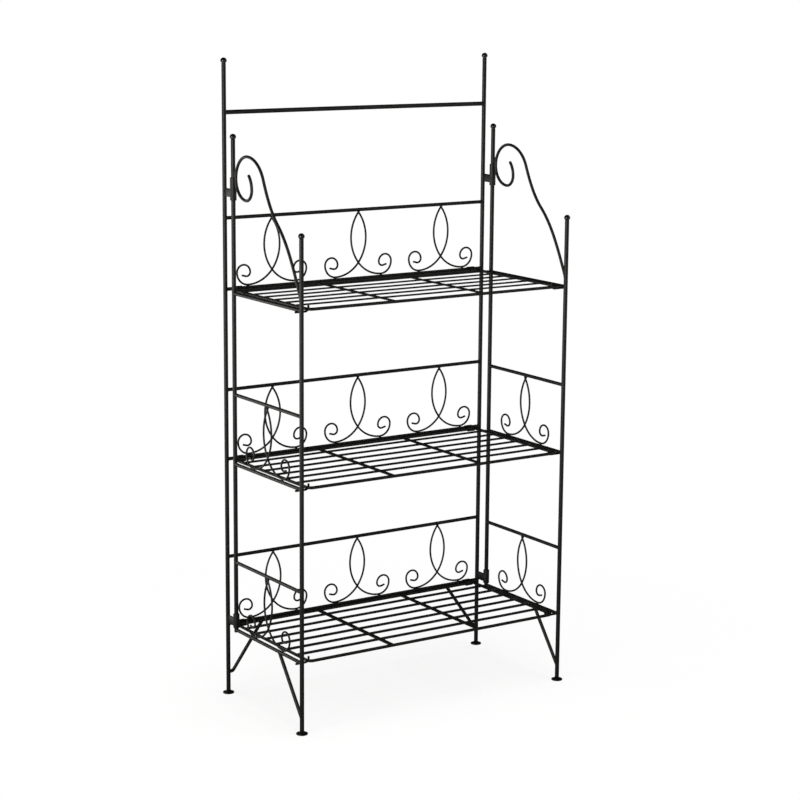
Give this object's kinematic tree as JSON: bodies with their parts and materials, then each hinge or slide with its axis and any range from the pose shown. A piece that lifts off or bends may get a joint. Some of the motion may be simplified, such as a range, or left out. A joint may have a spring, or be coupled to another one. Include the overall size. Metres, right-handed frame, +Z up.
{
  "type": "plant stand",
  "caption": "Folding tiered plant stand of black steel rod: slatted shelves that lift on a tall back frame, between hinged side frames with wire scrollwork.",
  "frame": {"origin": "on the floor, under the middle of the stand's bounding box", "axes": "+X to the right seen from the front, +Y to the back, +Z up"},
  "size_m": [0.666, 0.326, 1.33],
  "materials": {
    "black_powder_coat": "satin",
    "black_plastic": "satin"
  },
  "bodies": {
    "back_frame": {"back_post_left": "black_powder_coat", "back_finial_left": "black_plastic", "back_foot_left": "black_plastic", "back_brace_left": "black_powder_coat", "lower_hinge_left": "black_powder_coat", "upper_hinge_left": "black_powder_coat", "back_post_right": "black_powder_coat", "back_finial_right": "black_plastic", "back_foot_right": "black_plastic", "back_brace_right": "black_powder_coat", "lower_hinge_right": "black_powder_coat", "upper_hinge_right": "black_powder_coat", "top_rail": "black_powder_coat", "back_lower_rail_bottom": "black_powder_coat", "back_upper_rail_bottom": "black_powder_coat", "back_scroll_bottom_1": "black_powder_coat", "back_scroll_bottom_2": "black_powder_coat", "back_scroll_bottom_3": "black_powder_coat", "back_lower_rail_middle": "black_powder_coat", "back_upper_rail_middle": "black_powder_coat", "back_scroll_middle_1": "black_powder_coat", "back_scroll_middle_2": "black_powder_coat", "back_scroll_middle_3": "black_powder_coat", "back_lower_rail_top": "black_powder_coat", "back_upper_rail_top": "black_powder_coat", "back_scroll_top_1": "black_powder_coat", "back_scroll_top_2": "black_powder_coat", "back_scroll_top_3": "black_powder_coat"},
    "left_side": {"rear_post_left": "black_powder_coat", "rear_finial_left": "black_plastic", "front_post_left": "black_powder_coat", "front_finial_left": "black_plastic", "front_foot_left": "black_plastic", "side_lower_rail_bottom_left": "black_powder_coat", "side_lower_rail_middle_left": "black_powder_coat", "side_lower_rail_top_left": "black_powder_coat", "side_upper_rail_bottom_left": "black_powder_coat", "side_upper_rail_middle_left": "black_powder_coat", "side_scroll_bottom_left": "black_powder_coat", "side_scroll_middle_left": "black_powder_coat", "s_scroll_left": "black_powder_coat", "side_brace_left": "black_powder_coat"},
    "right_side": {"rear_post_right": "black_powder_coat", "rear_finial_right": "black_plastic", "front_post_right": "black_powder_coat", "front_finial_right": "black_plastic", "front_foot_right": "black_plastic", "side_lower_rail_bottom_right": "black_powder_coat", "side_lower_rail_middle_right": "black_powder_coat", "side_lower_rail_top_right": "black_powder_coat", "side_upper_rail_bottom_right": "black_powder_coat", "side_upper_rail_middle_right": "black_powder_coat", "side_scroll_bottom_right": "black_powder_coat", "side_scroll_middle_right": "black_powder_coat", "s_scroll_right": "black_powder_coat", "side_brace_right": "black_powder_coat"},
    "bottom_shelf": {"shelf_bottom": "black_powder_coat"},
    "middle_shelf": {"shelf_middle": "black_powder_coat"},
    "top_shelf": {"shelf_top": "black_powder_coat"}
  },
  "joints": [
    {"name": "bottom_shelf_lift", "type": "hinge", "parent": "back_frame", "child": "bottom_shelf", "pos_m": [0, 0.1405, 0.15], "axis": [-1, 0, 0], "range_deg": [0, 88]},
    {"name": "middle_shelf_lift", "type": "hinge", "parent": "back_frame", "child": "middle_shelf", "pos_m": [0, 0.1405, 0.505], "axis": [-1, 0, 0], "range_deg": [0, 88]},
    {"name": "top_shelf_lift", "type": "hinge", "parent": "back_frame", "child": "top_shelf", "pos_m": [0, 0.1405, 0.86], "axis": [-1, 0, 0], "range_deg": [0, 88]},
    {"name": "left_side_swing", "type": "hinge", "parent": "back_frame", "child": "left_side", "pos_m": [-0.321, 0.115, 0.6], "axis": [0, 0, 1], "range_deg": [-0.15, 2]},
    {"name": "right_side_swing", "type": "hinge", "parent": "back_frame", "child": "right_side", "pos_m": [0.321, 0.115, 0.6], "axis": [0, 0, -1], "range_deg": [-0.15, 2]}
  ]
}
